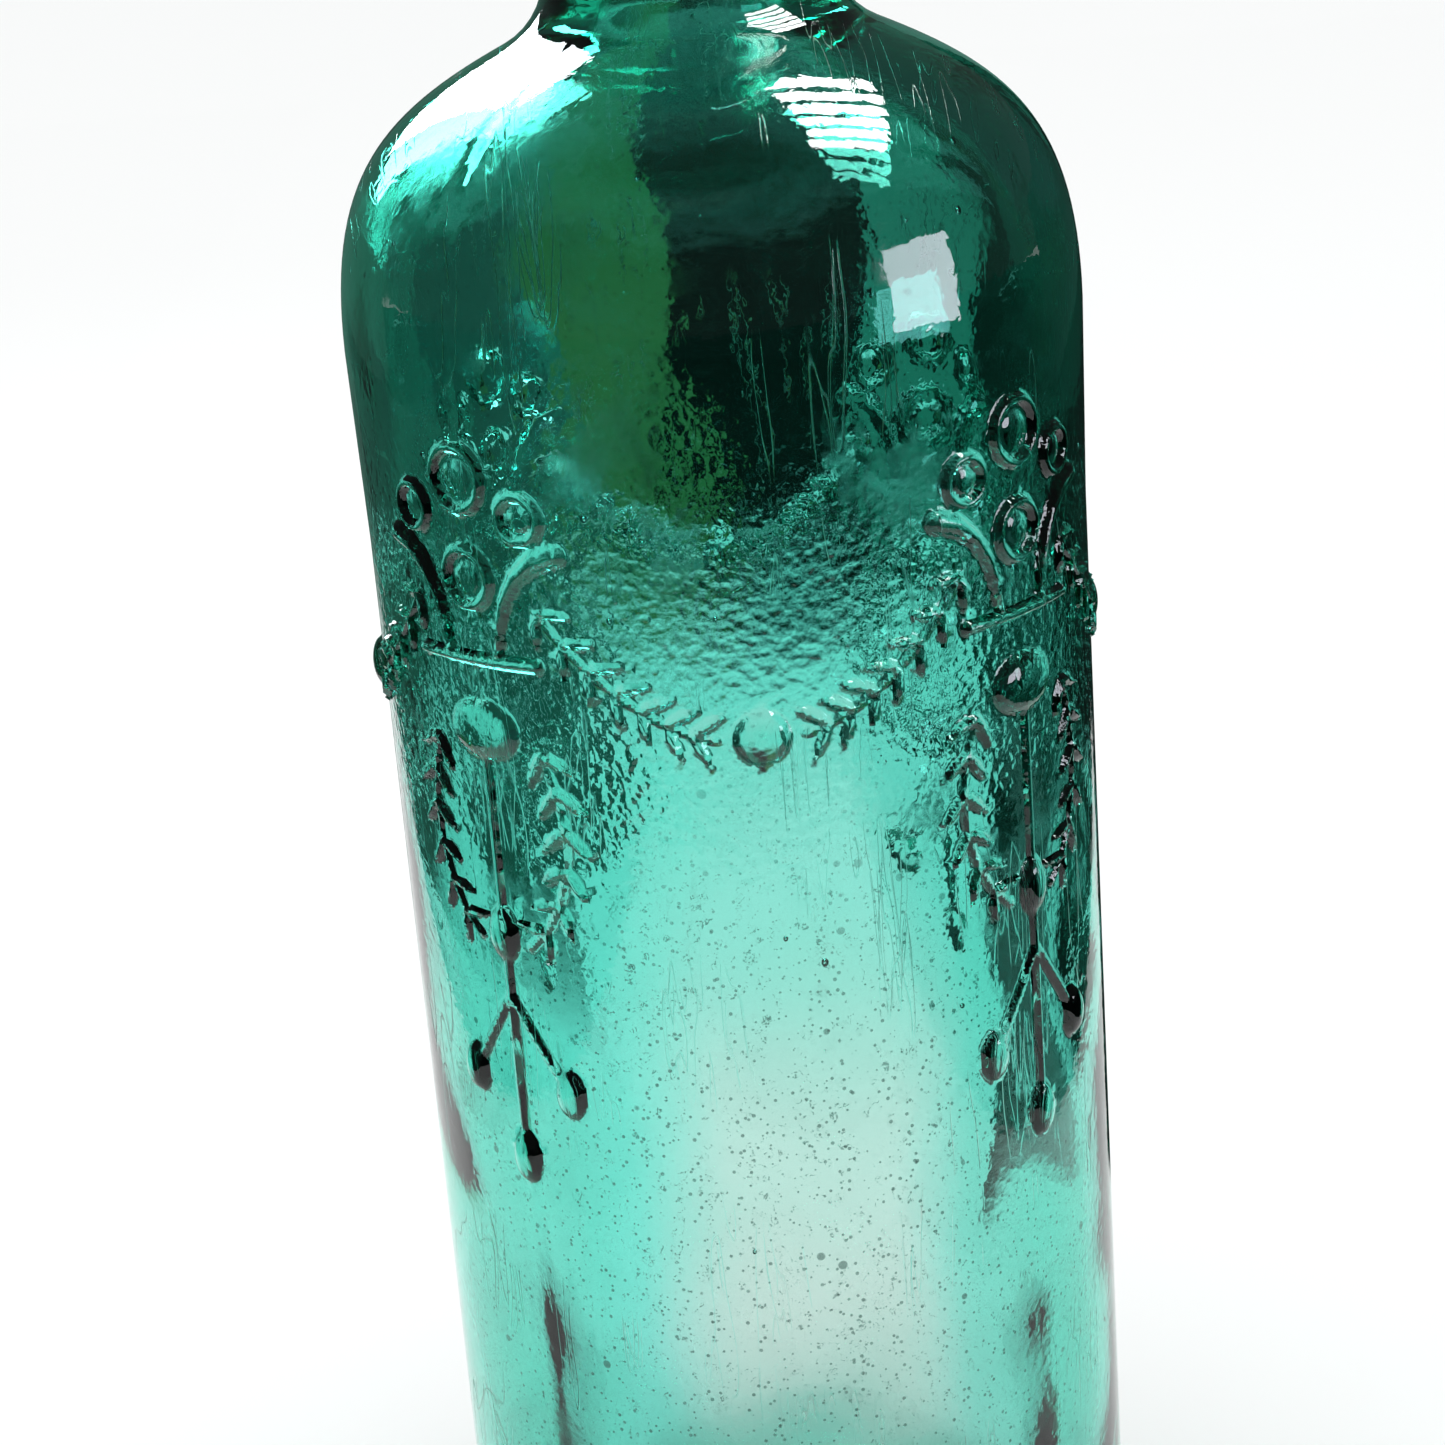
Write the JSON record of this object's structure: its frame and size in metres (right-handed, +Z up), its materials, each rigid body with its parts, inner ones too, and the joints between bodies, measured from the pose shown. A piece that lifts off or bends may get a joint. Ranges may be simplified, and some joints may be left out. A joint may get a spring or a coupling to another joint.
{
  "type": "round embossed glass bottle with stopper",
  "caption": "Tall round teal glass bottle with a domed shoulder, an embossed belt of baskets, laurel festoons and tassels, an applied collar, and a glass peg stopper in a cork sleeve.",
  "frame": {"origin": "centre of the standing ring, on the plane that the bottle rests on", "axes": "+Z up along the bottle's axis; -Y faces the viewer and carries the middle of one festoon"},
  "size_m": [0.0786, 0.0786, 0.2534],
  "materials": {
    "teal_glass": "gloss",
    "collar_glass": "gloss",
    "stopper_glass": "gloss",
    "cork": "matte"
  },
  "bodies": {
    "bottle": {"bottle_body": "teal_glass", "applied_collar": "collar_glass"},
    "cork": {"shell_cork": "cork"},
    "stopper": {"glass_stopper": "stopper_glass"}
  },
  "joints": [
    {"name": "stopper_lift", "type": "slide", "parent": "bottle", "child": "cork", "axis": [0, 0, 1], "range_m": [0, 0.045]},
    {"name": "stopper_twist", "type": "hinge", "parent": "cork", "child": "stopper", "pos_m": [0, 0, 0.245], "axis": [0, 0, 1], "continuous": true}
  ]
}
